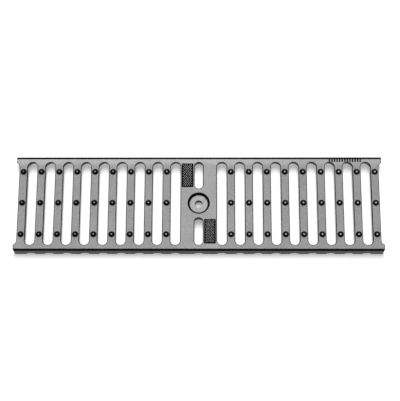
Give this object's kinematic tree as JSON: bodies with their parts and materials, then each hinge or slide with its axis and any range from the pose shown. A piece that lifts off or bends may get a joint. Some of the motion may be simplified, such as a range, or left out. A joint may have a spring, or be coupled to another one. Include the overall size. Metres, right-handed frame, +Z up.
{
  "type": "channel drain grate",
  "caption": "Cast iron slotted grate for a drainage channel, with anti-slip studs, scalloped rims, half slots in its ends and a bolt seat in the middle panel.",
  "frame": {"origin": "middle of the underside, in the plane of the two bearing strips, under the bolt hole", "axes": "+X along the channel, +Y across it towards the far rim, +Z up out of the tread"},
  "size_m": [0.5, 0.133, 0.0245],
  "materials": {
    "cast_iron": "as-cast iron under a thin dark dip coat, with a fine sandy grain and a paler tread"
  },
  "bodies": {
    "root": {"grate": "cast_iron"}
  },
  "joints": []
}
